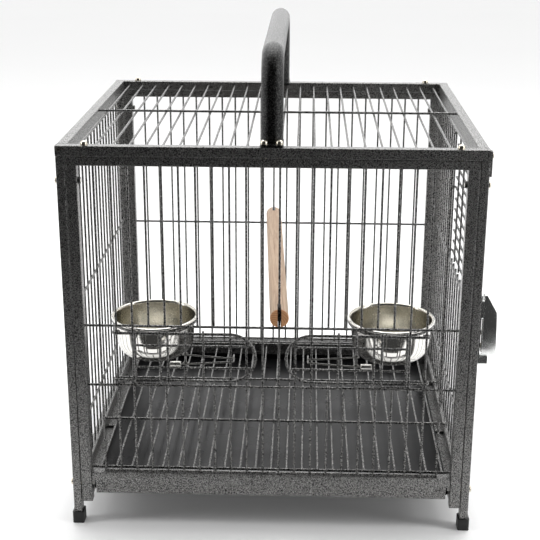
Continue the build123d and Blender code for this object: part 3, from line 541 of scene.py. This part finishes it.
def spin_cup(node, outside, inside):
    """A thin spun bowl with a rolled rim, closed at the middle of its foot."""
    centre = Vector((*CUP_CENTRES[node], 0))
    bowl = bmesh.new()
    section = [
        bowl.verts.new(centre + Vector((radius, 0, height)) * MM)
        for radius, height in CUP_OUTSIDE + CUP_RIM + CUP_INSIDE
    ]
    edges = [bowl.edges.new(pair) for pair in zip(section, section[1:])]
    bmesh.ops.spin(
        bowl, geom=section + edges, cent=centre, axis=(0, 0, 1), angle=2 * math.pi,
        steps=CUP_STEPS, use_merge=True,
    )
    bmesh.ops.remove_doubles(bowl, verts=bowl.verts, dist=CUP_WELD)
    bmesh.ops.recalc_face_normals(bowl, faces=bowl.faces)
    for face in bowl.faces:
        outwards = face.calc_center_median() - centre
        outwards.z = 0
        on_bottom = face.normal.z > CUP_BOTTOM_RISE and outwards.length < CUP_MOUTH
        face.material_index = int(on_bottom or face.normal.dot(outwards) < 0)
    cup = finish_shape("spun_" + node, bowl, outside, CUP_SMOOTH_BELOW)
    cup.data.materials.append(inside)
    rounding = cup.modifiers.new("rounding", "SUBSURF")
    rounding.levels = CUP_ROUNDING
    rounding.render_levels = CUP_ROUNDING
    return cup


def ease_node(frame, node, finish, round_off):
    """A CAD node's own shape with flat faces joined and its sharp edges rounded off."""
    shape = bmesh.new()
    shape.from_mesh(frame["nodes"][node].data)
    bmesh.ops.remove_doubles(shape, verts=shape.verts, dist=EASE_WELD)
    bmesh.ops.dissolve_limit(
        shape, angle_limit=FLAT_WITHIN, verts=shape.verts, edges=shape.edges
    )
    sharp = [
        edge for edge in shape.edges
        if edge.is_manifold and edge.calc_face_angle() > SHARP_ABOVE
    ]
    bmesh.ops.bevel(
        shape, geom=sharp, offset=round_off, offset_type="OFFSET", affect="EDGES",
        segments=EASE_SEGMENTS, profile=0.5, material=-1, clamp_overlap=True,
    )
    return finish_shape("eased_" + node, shape, finish)


def stand_in(frame, piece, node):
    """The piece takes the CAD node's place and rides on its body."""
    body = next(
        name for name, nodes in frame["record"]["behaviour"]["bodies"].items() if node in nodes
    )
    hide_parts(node)
    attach(piece, body)


def make_camera():
    """The camera at the photograph's place and angle."""
    yaw, dip, roll = (math.radians(v) for v in (CAMERA_YAW, CAMERA_DIP, CAMERA_ROLL))
    ahead = Vector((math.sin(yaw) * math.cos(dip), math.cos(yaw) * math.cos(dip), -math.sin(dip)))
    level_right = Vector((math.cos(yaw), -math.sin(yaw), 0))
    level_up = level_right.cross(ahead)
    right = level_right * math.cos(roll) + level_up * math.sin(roll)
    up = level_up * math.cos(roll) - level_right * math.sin(roll)
    lens = bpy.data.cameras.new("photo view")
    lens.lens = CAMERA_LENS
    lens.sensor_width = SENSOR_WIDTH
    lens.sensor_fit = "HORIZONTAL"
    lens.clip_start = CLIP_START
    lens.clip_end = CLIP_END
    camera = bpy.data.objects.new("photo view", lens)
    bpy.context.scene.collection.objects.link(camera)
    turn = Matrix((right, up, -ahead)).transposed().to_4x4()
    camera.matrix_world = Matrix.Translation(CAMERA_PLACE) @ turn
    bpy.context.scene.camera = camera


def make_floor():
    """A wide pale floor under the cage."""
    ground = bmesh.new()
    bmesh.ops.create_grid(
        ground, x_segments=FLOOR_CELLS, y_segments=FLOOR_CELLS, size=FLOOR_HALF
    )
    bmesh.ops.translate(ground, verts=ground.verts, vec=(0, FLOOR_HALF + FLOOR_FRONT, 0))
    finish, tree, surface, position = new_finish(
        "pale studio floor", Roughness=0.85, Emission_Color=WHITE, Emission_Strength=FLOOR_GLOW
    )
    cloudy = add_node(
        tree, "ShaderNodeTexNoise", (-900, 100), {"Scale": 1.2, "Detail": 3.0}
    )
    shade = add_node(tree, "ShaderNodeMapRange", (-500, 100), {"To Min": 0.90, "To Max": 0.93})
    tree.links.new(position, cloudy.inputs["Vector"])
    tree.links.new(cloudy.outputs["Fac"], shade.inputs["Value"])
    tree.links.new(shade.outputs["Result"], surface.inputs["Base Color"])
    finish_shape("studio_floor", ground, finish)


def add_softbox(name, place, aim, width, height, watts):
    """A rectangular soft light that faces a point of the cage and isn't seen itself."""
    light = bpy.data.lights.new(name, "AREA")
    light.shape = "RECTANGLE"
    light.size = width
    light.size_y = height
    light.energy = watts
    softbox = bpy.data.objects.new(name, light)
    softbox.visible_camera = False
    bpy.context.scene.collection.objects.link(softbox)
    facing = (Vector(place) - Vector(aim)).to_track_quat("Z", "Y").to_matrix().to_4x4()
    softbox.matrix_world = Matrix.Translation(place) @ facing


def make_room_light():
    """A world that is brightest behind and above the cage, and plain white to the camera."""
    scene = bpy.context.scene
    scene.world = bpy.data.worlds.new("white studio")
    scene.world.use_nodes = True
    tree = scene.world.node_tree
    link = tree.links.new
    tree.nodes.clear()
    way = add_node(tree, "ShaderNodeTexCoord", (-900, 0))
    towards = add_node(
        tree, "ShaderNodeVectorMath", (-700, 0), {1: BRIGHT_WAY}, operation="DOT_PRODUCT"
    )
    link(way.outputs["Generated"], towards.inputs[0])
    level = add_node(tree, "ShaderNodeMapRange", (-500, 0), {"From Min": -1.0, "From Max": 1.0})
    link(towards.outputs["Value"], level.inputs["Value"])
    glow = add_node(tree, "ShaderNodeValToRGB", (-300, 0))
    glow.color_ramp.interpolation = "EASE"
    dim, bright = glow.color_ramp.elements
    dim.position = DIM_END
    dim.color = DIM_COLOUR
    bright.position = BRIGHT_START
    bright.color = WHITE
    link(level.outputs["Result"], glow.inputs["Fac"])
    room = add_node(tree, "ShaderNodeBackground", (0, 0), {"Strength": ROOM_STRENGTH})
    link(glow.outputs["Color"], room.inputs["Color"])
    backdrop = add_node(
        tree, "ShaderNodeBackground", (0, -150), {"Color": WHITE, "Strength": 1.0}
    )
    seen = add_node(tree, "ShaderNodeLightPath", (0, 350))
    either = add_node(tree, "ShaderNodeMixShader", (250, 0))
    out = add_node(tree, "ShaderNodeOutputWorld", (450, 0))
    link(seen.outputs["Is Camera Ray"], either.inputs["Fac"])
    link(room.outputs[0], either.inputs[1])
    link(backdrop.outputs[0], either.inputs[2])
    link(either.outputs[0], out.inputs["Surface"])


def make_studio():
    """The floor, the room's light, the soft lights and the camera."""
    make_floor()
    bpy.context.scene.view_settings.view_transform = "Standard"
    make_room_light()
    for softbox in SOFTBOXES:
        add_softbox(*softbox)
    make_camera()


def main():
    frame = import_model()
    handling = make_handling_group()
    finishes = make_finishes(handling)
    for node in frame["nodes"].values():
        slot = node.material_slots[0]
        if slot.material.name in finishes:
            slot.material = finishes[slot.material.name]
    for node, finish in OWN_FINISHES.items():
        frame["nodes"][node].material_slots[0].material = finishes[finish]
    for node, centre in CUP_CENTRES.items():
        cup = spin_cup(node, *make_cup_finishes(handling, centre))
        stand_in(frame, cup, node)
    for node, finish, slot, round_off in EASED_NODES:
        stand_in(frame, ease_node(frame, node, finishes[finish], round_off), node)
    make_studio()


main()
